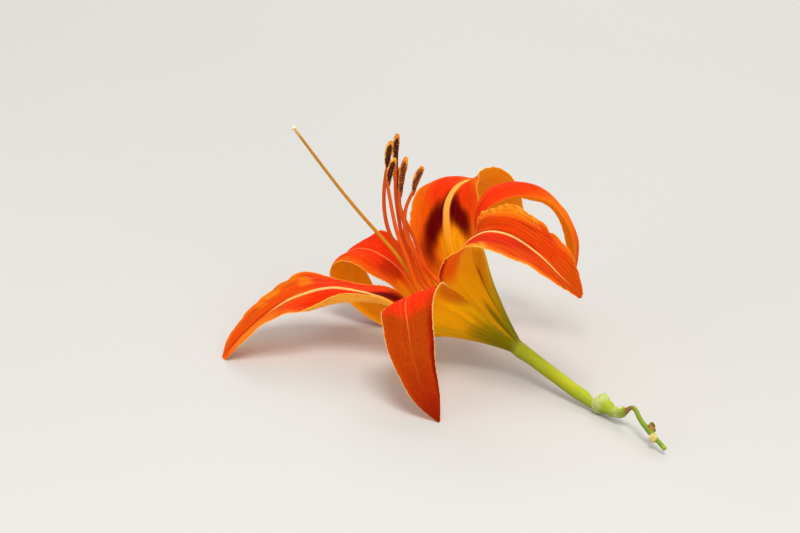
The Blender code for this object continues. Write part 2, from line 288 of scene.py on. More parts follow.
# turn is the blade's place round the funnel in degrees. Each row is midrib, lower edge and upper edge as
# column, row and mm away, then how far its two halves bow inward. A wave is its edge (-1 lower, 1 upper),
# height in mm, how many the whole length would hold, where they start, and the shares between which they run.
blades = dict(
    petal_left=dict(turn=183, petal=True, rows=[
        ((418, 328, 5.3), (427, 325, 13), (417.5, 318, -2.5), (-1, -1.1)),
        ((395, 305, 7), (400, 293, 13.5), (391, 303, -1), (-.7, -1.1)),
        ((362, 292, 7), (366, 284.5, 16.5), (365, 294.5, -1), (-.5, -2.3)),
        ((335, 288, 7), (334, 278, 17.5), (335, 295.5, -1), (-.3, -3)),
        ((306, 293, 6.5), (300, 272.5, 15), (306, 310, -2.5), (0, -2.2)),
        ((283, 303.5, 5), (272, 289.5, 13.5), (288, 313.5, -5), (0, 0)),
        ((258, 322, 3), (246, 313, 10), (266, 323, -5), (0, 0)),
        ((235, 345, 0.5), (227, 341, 4.5), (243, 342.5, -4.5), (0, 0)),
        ((223.5, 360, -1.5), (222, 357.5, -1), (225.5, 360, -2.5), (0, 0))],
        waves=((-1, 0.25, 7.5, 0.1, 0.42, 0.9), (1, 0.15, 6.5, 0.55, 0.66, 0.9))),
    petal_top=dict(turn=63, petal=True, rows=[
        ((465, 278, 17.5), (479, 260, 12), (448, 301, 19.5), (-1, -1)),
        ((451, 255, 21), (475, 240, 12.5), (427, 271, 24), (-1, -1)),
        ((447, 232, 22.5), (475.5, 219.5, 16.3), (412, 238, 27), (-1, -1)),
        ((447, 206, 24), (478, 199, 18), (411.5, 209, 29.5), (-.5, -.5)),
        ((457, 187, 27), (477.5, 183, 19), (420.5, 186.5, 33.5), (0, 1)),
        ((478, 180, 32.5), (481, 173, 20.5), (452, 184, 40), (0, 1)),
        ((496, 189, 37), (495, 166, 25.5), (480, 202, 44), (0, .5)),
        ((509, 208, 40), (513, 180, 30), (496, 222, 46), (0, .5)),
        ((517, 231, 40), (524, 208, 33), (507, 242, 44), (0, 0)),
        ((520, 255, 38), (522.5, 253, 37.5), (517.5, 256.5, 38.5), (0, 0))],
        waves=((-1, 0.4, 7.0, 0.3, 0.5, 0.95), (1, 0.4, 6.0, 0.0, 0.45, 0.95))),
    petal_right=dict(turn=303, petal=True, rows=[
        ((459, 264, -6), (440, 283, -8), (471.5, 252.5, -.8), (-1, -1)),
        ((467, 243, -11), (445, 260, -14.5), (476, 231, -4), (-1, -.7)),
        ((487, 232, -15), (469, 247.5, -22), (486, 210.5, -7), (0, 0)),
        ((512, 236.5, -18), (500, 253.7, -26), (514, 206, -11), (0, 0)),
        ((532, 249, -20.5), (522, 263.4, -28.5), (541, 221.5, -13.5), (0, 0)),
        ((552, 267, -22), (545, 276.3, -28), (563, 243, -16.5), (0, 0)),
        ((570, 286, -22), (564, 289, -25), (577.5, 268, -19), (0, 0)),
        ((581, 298, -21), (579, 298.5, -21.5), (583, 294, -20.5), (0, 0))],
        waves=((1, 0.4, 7.5, 0.35, 0.36, 0.95), (-1, 0.2, 5.5, 0.0, 0.45, 0.95))),
    sepal_front=dict(turn=243, petal=False, rows=[
        ((428, 306, -7.5), (415, 327, -1), (449, 287, -9), (-1, -1)),
        ((413, 296, -14), (398, 311, -9), (440, 283.5, -15.5), (0, 0)),
        ((406, 302, -20), (383, 309.8, -17), (434, 298, -19), (.6, .6)),
        ((407.5, 325, -24.5), (382.5, 326, -23), (433, 320, -22.5), (.8, .8)),
        ((411, 350, -27), (387.5, 350, -26), (434.5, 345, -25), (.8, .8)),
        ((418, 376, -28.5), (398.8, 376.2, -28), (436.5, 371, -26.5), (.6, .6)),
        ((428, 400, -29), (414.5, 402.5, -28.5), (440, 397, -27.5), (.4, .4)),
        ((439, 423, -28.5), (438.2, 422.2, -28.5), (439.9, 421.8, -28), (0, 0))]),
    sepal_rear=dict(turn=123, petal=False, rows=[
        ((435, 318, 17.5), (455, 298, 20.5), (421, 332, 11.5), (-1, -1)),
        ((414, 291, 20.5), (428, 270, 26), (402, 298, 15.5), (-.5, -.5)),
        ((400, 270, 21.5), (402, 245, 27), (386, 282, 17.5), (0, 0)),
        ((382, 256, 24), (385, 231, 29), (369, 273.5, 19), (0, 0)),
        ((360, 249, 27), (369, 236.7, 33.5), (351, 262.5, 21), (.5, .5)),
        ((344, 257, 30), (356, 254, 37), (335.7, 263, 23.5), (.8, .8)),
        ((346, 275, 32.5), (365, 270, 37.5), (330, 276, 27), (.8, .8)),
        ((359, 295.5, 33), (374, 286.5, 37), (345.5, 298.8, 28), (.6, .6)),
        ((381, 314.5, 32.5), (390, 304.5, 35.5), (370.5, 319, 29), (.4, .4)),
        ((413, 338, 31), (414, 336, 32), (410.5, 338.5, 30.5), (0, 0))]),
    sepal_right=dict(turn=3, petal=False, rows=[
        ((483, 252, 6.5), (474.5, 250, 0.4), (480, 262, 14.5), (-1, -1)),
        ((477.5, 230, 8), (474, 238, 2.5), (476, 234, 15), (0, 0)),
        ((479, 206, 9.5), (483, 215, 4), (481, 206, 16), (1, 1)),
        ((494, 187.5, 12), (498, 202, 6.5), (499, 193, 19), (1, 1)),
        ((520, 182.5, 15), (519, 196.5, 9), (518, 197, 20), (1, 1)),
        ((546.3, 191.6, 18), (540.4, 199.6, 11.5), (537.4, 201.6, 23), (1, 1)),
        ((565.4, 216, 20), (561, 214, 13), (555.5, 213.6, 25), (1, 1)),
        ((576, 243.3, 21), (573, 242.2, 14), (566, 243.3, 26), (1, 1)),
        ((575.2, 264, 21), (574.2, 263, 15.5), (567.2, 262, 25), (.6, .6)),
        ((571, 283, 20), (572.5, 282.5, 19), (569, 282.5, 20.5), (0, 0))]),
)

# Thickness, the grids' rows and columns, and relief in mm. A layer is a height up the funnel and how far
# petals and sepals stand off it there: low down they close up until they touch.
tissue = dict(thick=0.5, marginShare=0.3, petalGrid=(400, 92), sepalGrid=(270, 66), closing=0.6, spacing=36,
              layers=((0.35, -0.02, 0.12), (5.5, -0.2, 0.26), (11, -0.36, 0.4), (16, -0.45, 0.45)),
              waveEase=0.12, waveReach=2.5, troughSide=1.1, paleHalf=0.09, paleRise=0.05, creaseHalf=0.24,
              creaseDepth=0.22, swell=0.3)

# The eye zone's maroon is also laid on as painted shade and painted shadow. The dark red (deep), olive and
# brown are also painted shade where the blades below say so. The curled margins' colour is also a painted
# highlight.
palette = dict(
    throat=(0.9, 0.37, 0.004), body=(0.76, 0.088, 0.002), red=(0.78, 0.026, 0.003), deep=(0.3, 0.01, 0.001),
    eye=(0.095, 0.0005, 0.0005), gold=(0.86, 0.27, 0.006), light=(0.94, 0.23, 0.012),
    vein=(0.34, 0.012, 0.001), rib=(1, 0.46, 0.15), rim=(0.96, 0.42, 0.06), tube=(0.22, 0.205, 0.003),
    olive=(0.16, 0.115, 0.001), golden=(0.85, 0.375, 0.002), back=(0.98, 0.31, 0.005),
    warm=(0.78, 0.085, 0.002), brown=(0.42, 0.075, 0.002), curl=(1, 0.38, 0.025))

# What the blades have, both kinds and each kind. All that lies along a blade is in shares of its length.
# A rib: half widths in mm at some shares, height and its trough's depth, how pale it is and where it fades.
# A pale line or crease: mm from the midrib, first and last share, strength. A crease is dented and also
# painted dark as the shadow lying in it.
# A crinkled margin: its edge, first and last share, height in mm, folds for each mm.
# A notch: its edge, share, depth in mm (under 0 it is a point that stands out), half width as a share.
# A patch: colour, centre across (-1 to 1) and along, its reach both ways, strength, and slant if it has one.
# margins says how light the lower and the upper margin are, and throatEnds where the throat's yellow fades.
looks = dict(
    both=dict(colours={}, crinkles=(), creases=(), paleLines=(), notches=(), patches=(), backPatches=(),
              ragged=0.09, ribEnds=(0.68, 0.93)),
    petal=dict(ribAt=(0.1, 0.3, 0.6, 0.93), ribHalf=(0.8, 0.5, 0.42, 0.18), ribHeight=0.3, trough=0.3,
               ribPale=1.0, veinDepth=0.06, ruffle=0.22, frill=0.05, throatEnds=(0.24, 0.42),
               margins=(0.55, 0.55), grainy=0.3, streaky=0.5, rimPale=0.55),
    sepal=dict(ribAt=(0.1, 0.5, 0.95), ribHalf=(0.5, 0.25, 0.15), ribHeight=0.05, trough=0.08,
               ribPale=0.2, veinDepth=0.04, ruffle=0.08, frill=0.03, throatEnds=(0.2, 0.4),
               margins=(0.3, 0.3), grainy=0.35, streaky=0.4, rimPale=0.5),
)
ownLooks = dict(
    petal_left=dict(
        frill=0.03, ruffle=0.12, ribEnds=(0.76, 0.82),
        colours=dict(body=(0.66, 0.068, 0.002), light=(0.84, 0.19, 0.012), curl=(1, 0.42, 0.05)),
        creases=((0.75, 0.4, 0.54, 1), (-1.3, 0.8, 0.95, 0.7)),
        crinkles=((1, 0.46, 0.66, 0.07, 1.3),),
        notches=((1, 0.673, -0.8, 0.012), (-1, 0.704, 1.1, 0.013), (-1, 0.745, 0.4, 0.004),
                 (-1, 0.774, -0.7, 0.016), (-1, 0.8, 0.4, 0.005), (-1, 0.86, 0.3, 0.006)),
        patches=(
            ("red", (-0.5, 0.52), (0.9, 0.2), 0.85), ("red", (0.3, 0.57), (0.6, 0.16), 0.9),
            ("eye", (-0.42, 0.415), (0.5, 0.085), 1, 6), ("gold", (-0.5, 0.665), (0.3, 0.03), 0.5),
            ("gold", (-0.85, 0.7), (0.2, 0.04), 0.4), ("gold", (-0.74, 0.755), (0.24, 0.03), 0.5),
            ("gold", (-0.66, 0.8), (0.24, 0.022), 0.4), ("brown", (-0.75, 0.71), (0.2, 0.02), 0.4),
            ("brown", (-0.5, 0.84), (0.3, 0.05), 0.4), ("light", (0.5, 0.88), (0.7, 0.13), 0.9),
            ("red", (0.4, 0.71), (0.36, 0.06), 0.5), ("light", (1, 0.71), (0.24, 0.07), 0.8)),
        # Painted light: the curled band on the outer face is made brighter where it lies in shade.
        backPatches=(("curl", (0.8, 0.53), (1, 0.24), 1),)),
    petal_top=dict(
        ribAt=(0.12, 0.3, 0.4, 0.5, 0.6, 0.8, 0.95), ribHalf=(1.9, 1.6, 1.15, 0.95, 0.85, 0.4, 0.15),
        ribHeight=0.4, trough=0.4, throatEnds=(0.3, 0.45), streaky=0.12, grainy=0.15,
        colours=dict(body=(0.72, 0.098, 0.002), rib=(0.94, 0.42, 0.06), light=(0.84, 0.17, 0.006),
                     back=(1, 0.33, 0.008)),
        patches=(
            # The dark red patch low beside the throat is painted shade.
            ("throat", (-0.1, 0.38), (0.6, 0.13), 1), ("deep", (0.75, 0.385), (0.4, 0.06), 0.6),
            ("red", (0.3, 0.6), (0.5, 0.09), 0.9), ("red", (-0.4, 0.58), (0.45, 0.1), 0.8),
            ("red", (-0.85, 0.52), (0.35, 0.1), 0.6), ("eye", (0.34, 0.482), (0.42, 0.12), 1, -4.6),
            ("eye", (-0.36, 0.492), (0.36, 0.122), 1, 4)),
        backPatches=(("light", (0.6, 0.66), (0.6, 0.08), 0.4), ("warm", (0.1, 0.72), (0.3, 0.03), 0.3))),
    petal_right=dict(
        ribHalf=(0.5, 0.36, 0.28, 0.12), ribEnds=(0.8, 0.97), streaky=0.8, rimPale=0.35, grainy=0.5,
        colours=dict(body=(0.53, 0.043, 0.001), light=(0.88, 0.17, 0.01), gold=(0.86, 0.21, 0.005),
                     curl=(0.96, 0.29, 0.02)),
        crinkles=((1, 0.5, 0.77, 0.26, 1.25), (-1, 0.42, 0.6, 0.18, 0.8)),
        notches=((1, 0.788, 1.2, 0.011), (1, 0.825, -0.4, 0.02)),
        patches=(
            # The dark red patch just under the midrib is a painted shadow.
            ("deep", (-0.35, 0.6), (0.34, 0.2), 0.8, 1), ("red", (-0.3, 0.55), (0.5, 0.2), 0.5),
            ("gold", (1.02, 0.64), (0.5, 0.16), 0.9), ("light", (-1.05, 0.68), (0.27, 0.35), 0.95),
            ("brown", (0.1, 0.98), (1.4, 0.16), 0.5), ("curl", (-1.02, 0.585), (0.4, 0.035), 0.8)),
        backPatches=(
            # Painted shade: the dark red on the folded lower margin, and the olive near the base.
            ("warm", (-0.6, 0.43), (0.9, 0.13), 0.9), ("deep", (-1.02, 0.42), (0.24, 0.09), 1),
            ("brown", (0.9, 0.2), (0.4, 0.14), 0.5), ("olive", (-0.02, 0.09), (0.3, 0.12), 0.8),
            ("golden", (-0.47, 0.095), (0.26, 0.12), 0.5, -1.5))),
    # Painted light and shade: the body is dark and darkens further towards the tip and down the right strip,
    # with a lighter red band near the top where light falls. On the outer face the brown patch is a painted
    # shadow near the upper edge, and the olive one darkens the base into shade.
    sepal_front=dict(
        ragged=0.17, ribPale=0.0, margins=(0.2, 0.1), rimPale=0.7, streaky=0.15, grainy=0.9,
        colours=dict(body=(0.36, 0.043, 0.001), rim=(0.98, 0.6, 0.18), light=(0.6, 0.11, 0.004),
                     rib=(0.98, 0.26, 0.06)),
        paleLines=((-1.6, 0.5, 0.58, 0.9), (0, 0.48, 0.66, 0.9), (0.1, 0.5, 0.85, 0.4),
                   (0.9, 0.48, 0.58, 0.5)),
        patches=(
            ("deep", (0.1, 1), (1.5, 0.26), 0.75), ("red", (-0.1, 0.52), (1.4, 0.11), 1),
            ("deep", (1, 0.76), (0.36, 0.32), 0.95), ("eye", (1.02, 0.8), (0.32, 0.28), 0.7),
            ("eye", (0.2, 1.03), (1.7, 0.15), 0.4), ("curl", (-1, 0.535), (0.2, 0.02), 0.8)),
        backPatches=(("brown", (0.95, 0.32), (0.55, 0.13), 0.8), ("olive", (-0.2, 0.07), (1.4, 0.12), 0.6))),
    sepal_rear=dict(
        throatEnds=(0.28, 0.48), streaky=0.2,
        colours=dict(body=(0.74, 0.062, 0.002), back=(0.98, 0.36, 0.004)),
        paleLines=((0, 0.36, 0.6, 0.4),),
        patches=(
            # The narrow dark red patch is painted shade.
            ("red", (-0.4, 0.57), (1.3, 0.17), 0.9), ("deep", (0.3, 0.48), (0.5, 0.06), 0.6),
            ("throat", (0.6, 0.37), (0.5, 0.08), 0.8))),
    sepal_right=dict(
        ribPale=0.1, streaky=0.5, rimPale=0.25,
        # Its outer golden is darker: painted shade on the funnel's right side.
        colours=dict(golden=(0.66, 0.39, 0.004), rim=(0.84, 0.17, 0.006)),
        patches=(
            ("red", (-0.4, 0.51), (1, 0.22), 0.9), ("light", (0.3, 0.77), (1.5, 0.14), 0.5),
            ("deep", (-0.9, 0.42), (0.5, 0.08), 0.4), ("brown", (0, 0.93), (1.5, 0.14), 0.35),
            ("red", (0.95, 0.42), (0.6, 0.12), 0.8)),
        backPatches=(
            # The olive near the base is painted shade.
            ("warm", (-0.8, 0.25), (0.3, 0.11), 0.45), ("olive", (-0.2, 0.13), (0.5, 0.12), 0.3),
            ("light", (0, 0.84), (1.2, 0.12), 0.5))),
)
acrossStops = (-1, -0.5, 0, 0.5, 1)


def bladeRails(blade):
    # rows of five points across: those on the funnel, then those read from the picture
    rails = []
    for height, petalOff, sepalOff in tissue["layers"]:
        off = petalOff if blade["petal"] else sepalOff
        rails.append([])
        for q in acrossStops:
            radius = funnelRadius(height) + off * (1 - tissue["closing"] * q * q)
            rails[-1].append(ringPoint(blade["turn"] + q * tissue["spacing"], height, radius))
    first = len(rails)
    rails += [[picturePoint(*low), None, picturePoint(*mid), None, picturePoint(*high)]
              for mid, low, high, bow in blade["rows"]]
    for i in range(first, len(rails)):
        low, mid, high = rails[i][0], rails[i][2], rails[i][4]
        along = unit(rails[min(i + 1, len(rails) - 1)][2] - rails[i - 1][2])
        bow = blade["rows"][i - first][3]
        rails[i][1] = (mid + low) / 2 + unit(np.cross(along, mid - low)) * bow[0]
        rails[i][3] = (mid + high) / 2 + unit(np.cross(along, high - mid)) * bow[1]
    return np.array(rails)


def inwardNormals(grid):
    normal = np.cross(np.gradient(grid, axis=0), np.gradient(grid, axis=1))
    return normal / np.maximum(np.linalg.norm(normal, axis=2), 1e-9)[..., None]


def bladeSheet(blade):
    rows, columns = tissue["petalGrid" if blade["petal"] else "sepalGrid"]
    rails = bladeRails(blade)
    knots = np.concatenate([[0], np.cumsum(np.linalg.norm(np.diff(rails[:, 2], axis=0), axis=1))])
    alongRails = spline(knots, rails)
    fine = np.linspace(0, knots[-1], 600)
    arc = np.concatenate([[0], np.cumsum(np.linalg.norm(np.diff(alongRails(fine)[:, 2], axis=0), axis=1))])
    part = np.linspace(0, 1, rows + 1)
    rails = alongRails(np.interp(part * arc[-1], arc, fine))
    side = np.linspace(-1, 1, columns + 1)
    grid = spline(acrossStops, rails.transpose(1, 0, 2))(side).transpose(1, 0, 2)
    normal = inwardNormals(grid)
    for edge, size, count, start, first, last in blade.get("waves", ()):
        ease = tissue["waveEase"]
        swell = np.clip((part - first) / ease, 0, 1) * np.clip((last - part) / ease, 0, 1)
        wave = size * swell * np.sin(2 * pi * (count * part + start))
        share = np.clip(side * edge, 0, 1) ** tissue["waveReach"]
        grid = grid + wave[:, None, None] * share[None, :, None] * normal
    return grid, part, side, arc[-1]


def softNoise(a, b, seed):
    a, b = np.broadcast_arrays(a, b)
    values = [noise.noise(Vector((x, y, seed))) for x, y in zip(a.ravel(), b.ravel())]
    return np.array(values).reshape(a.shape)


def window(part, first, last, ease=0.05):
    # 1 between two shares of the length and 0 outside them
    begun = smoothStep(part, first - ease, first + ease)
    return (begun * (1 - smoothStep(part, last - ease, last + ease)))[:, None]


def fromMidrib(grid):
    # mm across the blade from its midrib
    steps = np.linalg.norm(np.diff(grid, axis=1), axis=2)
    walk = np.concatenate([np.zeros((len(grid), 1)), np.cumsum(steps, axis=1)], axis=1)
    return walk - walk[:, [grid.shape[1] // 2]]


def veinLines(distance, mm, part, side, half, seed):
    # where the sum of two drawn-out noises is near nought, clear of the rib and the margin
    drift = distance * (1 - 0.25 * part[:, None])
    lines = softNoise(drift * 1.05, mm * 0.035, seed) + 0.35 * softNoise(drift * 2.3, mm * 0.06, seed + 40.0)
    clear = 1 - np.exp(-(distance / (half + 0.4)) ** 4)
    return np.exp(-(lines / 0.1) ** 2) * (clear * (1 - smoothStep(np.abs(side)[None, :], 0.85, 1.0)))


def softLines(distance, part, rows, half, ease, narrowing=1.0):
    lines = np.zeros_like(distance)
    for offset, first, last, strength in rows:
        off = (distance - offset * narrowing) / half
        lines += strength * np.exp(-off ** 2) * window(part, first, last, ease)
    return lines


def ruffles(part, side, limb, look, seed):
    # the margins' slow waves, and fine ones at the very edge
    spread, total = np.abs(side)[None, :], 0
    for edge in (-1, 1):
        here = (np.sign(side) == edge)[None, :] * limb
        slow = ripple(part, seed + 60 + edge, 5, 10)[:, None]
        fine = ripple(part, seed + 80 + edge, 24, 38)[:, None]
        total = total + here * spread ** 4 * look["ruffle"] * slow
        total = total + here * smoothStep(spread, 0.8, 1.0) * look["frill"] * fine
    return total


def crinkles(distance, mm, part, side, look, seed):
    # folds across the margins: their height, and the same without their size for the colours
    relief, tone = np.zeros_like(distance), np.zeros_like(distance)
    for edge, first, last, size, beat in look["crinkles"]:
        here = smoothStep(side * edge, 0.62, 0.86)[None, :] * window(part, first, last, 0.05)
        broad = softNoise(mm * beat + distance * 0.5, distance * 0.35, seed + 7.0)
        narrow = softNoise(mm * beat * 2.3 + distance, distance * 0.9, seed + 8.0)
        folds = here * (1.6 * broad + 1.2 * narrow)
        relief += size * folds
        tone += folds
    return relief, tone


def bladeRelief(grid, part, side, length, look, seed):
    # how far each point stands towards the inner face in mm, and what the colours follow
    distance, mm = fromMidrib(grid), (part * length)[:, None]
    inside = window(part, 0.12, 0.93, 0.08)
    limb = smoothStep(part, 0.32, 0.46)[:, None]  # the free part past the funnel
    half = np.interp(part, look["ribAt"], look["ribHalf"])[:, None]
    rib = look["ribHeight"] * np.exp(-(distance / half) ** 4)
    trough = look["trough"] * np.exp(-(distance / (half + tissue["troughSide"])) ** 2)
    veins = veinLines(distance, mm, part, side, half, seed)
    narrowing = np.interp(part, (0, 0.45, 1), (0.4, 1, 0.5))[:, None]
    pale = softLines(distance, part, look["paleLines"], tissue["paleHalf"], 0.08, narrowing)
    crease = softLines(distance, part, look["creases"], tissue["creaseHalf"], 0.04)
    folds, crinkle = crinkles(distance, mm, part, side, look, seed)
    swell = 0.6 * softNoise(distance * 0.3, mm * 0.16, seed + 9.0)
    swell += 0.25 * softNoise(distance * 0.9, mm * 0.4, seed + 5.0)
    relief = (rib - trough - look["veinDepth"] * veins + tissue["swell"] * swell * limb) * inside
    relief += tissue["paleRise"] * pale - tissue["creaseDepth"] * crease
    relief += ruffles(part, side, limb, look, seed) + folds
    return relief, distance / half, dict(veins=veins, pale=pale, crease=crease, crinkle=crinkle)


# How each face's noise is drawn out across and along, its clouds' scale, and how far it moves the patches.
faces = dict(inner=dict(streaks=(5, 2.2), hairs=(17, 5.0), clouds=150.0, drift=(0.2, 0.05)),
             outer=dict(streaks=(4, 2.0), hairs=(16, 4.5), clouds=130.0, drift=(0.1, 0.04)))


def petalSkin(name, look):
    f = Finish(name, Subsurface_Weight=0.45, Subsurface_Radius=(1.0, 0.35, 0.06), Subsurface_Scale=0.0014,
               Specular_IOR_Level=0.02)
    return f, dict(palette, **look["colours"])


def bladeMarks(f, seed, face):
    # the place on the blade, the same loosened by noise, and four noises from coarse to fine
    across, along = f.surface()
    side = across * 2 - 1
    streak = f.blotch(f.stretched(side * face["streaks"][0], along * face["streaks"][1], seed), 1.0, 3.0, 0.6)
    hair = f.blotch(f.stretched(side * face["hairs"][0], along * face["hairs"][1], seed + 3.0), 1.0, 3.0, 0.6)
    cloud = f.blotch(f.place(), face["clouds"], 3.0)
    grain = f.blotch(f.place(), 1500.0, 3.0, 0.7)
    loose = side + (cloud - 0.5) * face["drift"][0], along + (streak - 0.5) * face["drift"][1]
    return (side, along), loose, (streak, hair, cloud, grain)


def addPatches(f, colour, tints, patches, loose):
    for tint, centre, reach, strength, *slant in patches:
        colour = f.mix(colour, tints[tint], f.patch(*loose, centre, reach, *slant) * strength)
    return colour


def addRimLine(f, colour, tints, look, edge, along):
    # paler at the very margin of the free part
    line = edge * look["rimPale"] * f.rise(along, 0.3, 0.42) * (1 - f.rise(along, 0.92, 0.97))
    return f.mix(colour, tints["rim"], line)


def innerFinish(name, look):
    f, tints = petalSkin(name, look)
    (side, along), loose, (streak, hair, cloud, grain) = bladeMarks(f, look["seed"], faces["inner"])
    colour = f.mix(tints["throat"], tints["body"], f.rise(along + (hair - 0.5) * 0.16, *look["throatEnds"]))
    for edge, strength in zip((-1, 1), look["margins"]):
        band = f.rise(side * edge + (hair - 0.5) * 0.3, 0.62, 1.0) * f.rise(along, 0.3, 0.45)
        colour = f.mix(colour, tints["light"], band * strength)
    free = f.rise(along, 0.34, 0.48) * look["streaky"]
    colour = f.mix(colour, tints["red"], f.rise(hair, 0.5, 0.7) * free)
    colour = f.mix(colour, tints["light"], f.rise(1 - hair, 0.55, 0.75) * free)
    colour = addPatches(f, colour, tints, look["patches"], loose)
    grainy = look["grainy"]
    colour = f.shade(colour, (0.9 - grainy * 0.5) + 0.16 * hair + grainy * grain + 0.12 * cloud)
    veins = f.attribute("veins") * f.rise(along, 0.28, 0.42)
    colour = f.mix(colour, tints["vein"], veins * (0.15 + 0.6 * look["streaky"]))
    crinkle = f.attribute("crinkle")
    # Painted light and shade on the crinkled margins: the raised side of each fold is made lighter and the
    # other side brown as in shadow.
    colour = f.mix(colour, tints["curl"], f.rise(crinkle, 0.05, 0.6) * 0.55)
    colour = f.mix(colour, tints["brown"], f.rise(crinkle * -1, 0.05, 0.6) * 0.5)
    # Painted shadow: the creases are darkened with the maroon as if shade lay in them.
    colour = f.mix(colour, tints["eye"], f.attribute("crease") * 0.85)
    ribTint = f.mix(tints["throat"], tints["rib"], f.rise(along, 0.38, 0.52))
    rib = 1 - f.rise(abs(f.attribute("ribShare")), 0.7, 1.25)
    rib = rib * (1 - f.rise(along, *look["ribEnds"])) * f.rise(along, 0.14, 0.3)
    colour = f.mix(colour, ribTint, rib * look["ribPale"])
    colour = f.mix(colour, tints["rib"], f.attribute("pale") * 0.5)
    edge = f.rise(abs(side) + (grain - 0.5) * 0.08 + (hair - 0.5) * 0.05, 0.958, 0.985)
    colour = addRimLine(f, colour, tints, look, edge, along)
    return f.close(colour, 0.55 + 0.2 * grain, grain * 0.6 + hair * 0.6, 0.4, 0.00016)


def outerFinish(name, look):
    f, tints = petalSkin(name, look)
    (side, along), loose, (streak, hair, cloud, grain) = bladeMarks(f, look["seed"] + 5.0, faces["outer"])
    colour = f.mix(tints["tube"], tints["golden"], f.rise(along + (hair - 0.5) * 0.12, 0.03, 0.21))
    colour = f.mix(colour, tints["back"], f.rise(loose[1], 0.26, 0.46))
    lines = f.rise(streak, 0.5, 0.66) * (1 - f.rise(along, 0.12, 0.36))
    colour = f.mix(colour, tints["olive"], lines * 0.45)
    colour = f.mix(colour, tints["warm"], f.rise(hair, 0.52, 0.72) * 0.3 * f.rise(along, 0.16, 0.34))
    colour = addPatches(f, colour, tints, look["backPatches"], loose)
    rib = (1 - f.rise(abs(f.attribute("ribShare")), 0.8, 2.0)) * (0.3 * look["ribPale"])
    colour = f.mix(colour, tints["rib"], rib * f.rise(along, 0.3, 0.45))
    colour = f.mix(colour, tints["warm"], f.rise(abs(f.attribute("crinkle")), 0.3, 1.0) * 0.35)
    colour = f.shade(colour, 0.8 + 0.2 * hair + 0.12 * cloud + 0.1 * grain)
    edge = f.rise(abs(side) + (grain - 0.5) * 0.06, 0.955, 0.98)
    colour = addRimLine(f, colour, tints, look, edge, along)
    return f.close(colour, 0.5 + 0.2 * grain, grain * 0.4 + hair * 0.7, 0.35, 0.00016)


def rimFinish(name, look):
    f, tints = petalSkin(name, look)
    along = f.surface()[1]
    colour = f.mix(tints["golden"], tints["rim"], f.rise(along, 0.2, 0.42))
    colour = f.mix(colour, tints["light"], f.rise(along, 0.94, 0.98))
    return f.close(f.shade(colour, 0.8 + 0.4 * f.blotch(f.place(), 900.0, 2.0)), 0.55)


def raggedMargin(part, side, look, seed):
    # how far the margin stands out in mm
    uneven = look["ragged"] * (1 - 0.75 * smoothStep(part, 0.56, 0.7)) * ripple(part, seed + 21, 30, 75)
    out = uneven[:, None] * np.abs(side)[None, :] ** 16 * np.sign(side)
    for edge, at, depth, wide in look["notches"]:
        notch = depth * np.exp(-((part - at) / wide) ** 2)[:, None]
        out = out - edge * notch * np.clip(side * edge, 0, 1)[None, :] ** 10
    return out


def addWall(ob, shares):
    # the blade's thickness, all of it where a vertex's share is 1, with outer, inner and rim materials
    group = ob.vertex_groups.new(name="body")
    for share in np.unique(shares):
        group.add(np.nonzero(shares == share)[0].tolist(), float(share), "REPLACE")
    wall = ob.modifiers.new("Wall", "SOLIDIFY")
    wall.thickness = tissue["thick"] / 1000
    wall.offset = 0
    wall.vertex_group = "body"
    wall.thickness_vertex_group = 0.0
    wall.material_offset = 1
    wall.material_offset_rim = 2
    applyAll(ob)
    ob.vertex_groups.clear()


def addBlade(name, blade, seed):
    kind = "petal" if blade["petal"] else "sepal"
    look = {**looks["both"], **looks[kind], **ownLooks[name], "seed": float(seed)}
    grid, part, side, length = bladeSheet(blade)
    relief, ribShare, marks = bladeRelief(grid, part, side, length, look, seed)
    across = np.gradient(grid, axis=1)
    across /= np.maximum(np.linalg.norm(across, axis=2), 1e-9)[..., None]
    grid = grid + relief[..., None] * inwardNormals(grid)
    grid = grid + raggedMargin(part, side, look, seed)[..., None] * across
    plain = name.replace("_", "")
    ob, i, j = addSheet(plain + "Blade", toWorld(grid, tissue["thick"] / 2))
    for label, values in dict(marks, ribShare=ribShare).items():
        layer = ob.data.attributes.new(label, "FLOAT", "POINT")
        layer.data.foreach_set("value", values[i, j].astype(np.float32))
    for label, finish in dict(Outer=outerFinish, Inner=innerFinish, Rim=rimFinish).items():
        ob.data.materials.append(finish(plain + label, look))
    share = tissue["marginShare"]
    addWall(ob, (share + (1 - share) * (1 - smoothStep(np.abs(side), 0.1, 0.97)))[j])
    bpy.ops.object.shade_smooth_by_angle(angle=radians(joining["bladeAngle"]))
    keepPiece(ob, name)


for seed, (name, blade) in enumerate(blades.items(), 3):
    addBlade(name, blade, seed)
print("petals and sepals made")


def shareOfRows(path):
    knots = np.concatenate([[0], np.cumsum(np.linalg.norm(np.diff(path, axis=0), axis=1))])
    return knots / knots[-1]


def smoothLine(path, widths, count):
    # evenly spaced points of a smooth line through the path, with their widths
    path = np.asarray(path, float)
    knots = shareOfRows(path)
    where = np.linspace(0, 1, count)
    if len(widths) == len(path):
        return spline(knots, path)(where), spline(knots, np.asarray(widths, float))(where)
    return spline(knots, path)(where), np.interp(where, np.linspace(0, 1, len(widths)), widths)


def roundSection(angle):
    return np.cos(angle), np.sin(angle)


def ringsAlong(line, widths, around, section=roundSection, swell=None, side=None):
    # rings of points round a line, of this section and made wider or narrower by swell
    ahead = np.gradient(line, axis=0)
    ahead /= np.maximum(np.linalg.norm(ahead, axis=1), 1e-9)[:, None]
    side = unit(np.cross(ahead[0], (0.3, -1, 0.2))) if side is None else side
    angle = np.arange(around + 1) / around * 2 * pi
    x, y = section(angle)
    rings = []
    for k, (p, d, w) in enumerate(zip(line, ahead, widths)):
        side = unit(side - d * (side @ d))
        other = np.cross(d, side)
        grow = 1.0 if swell is None else swell(angle, k / (len(line) - 1))[:, None]
        rings.append(p + w * grow * (x[:, None] * side + y[:, None] * other))
    return np.array(rings)


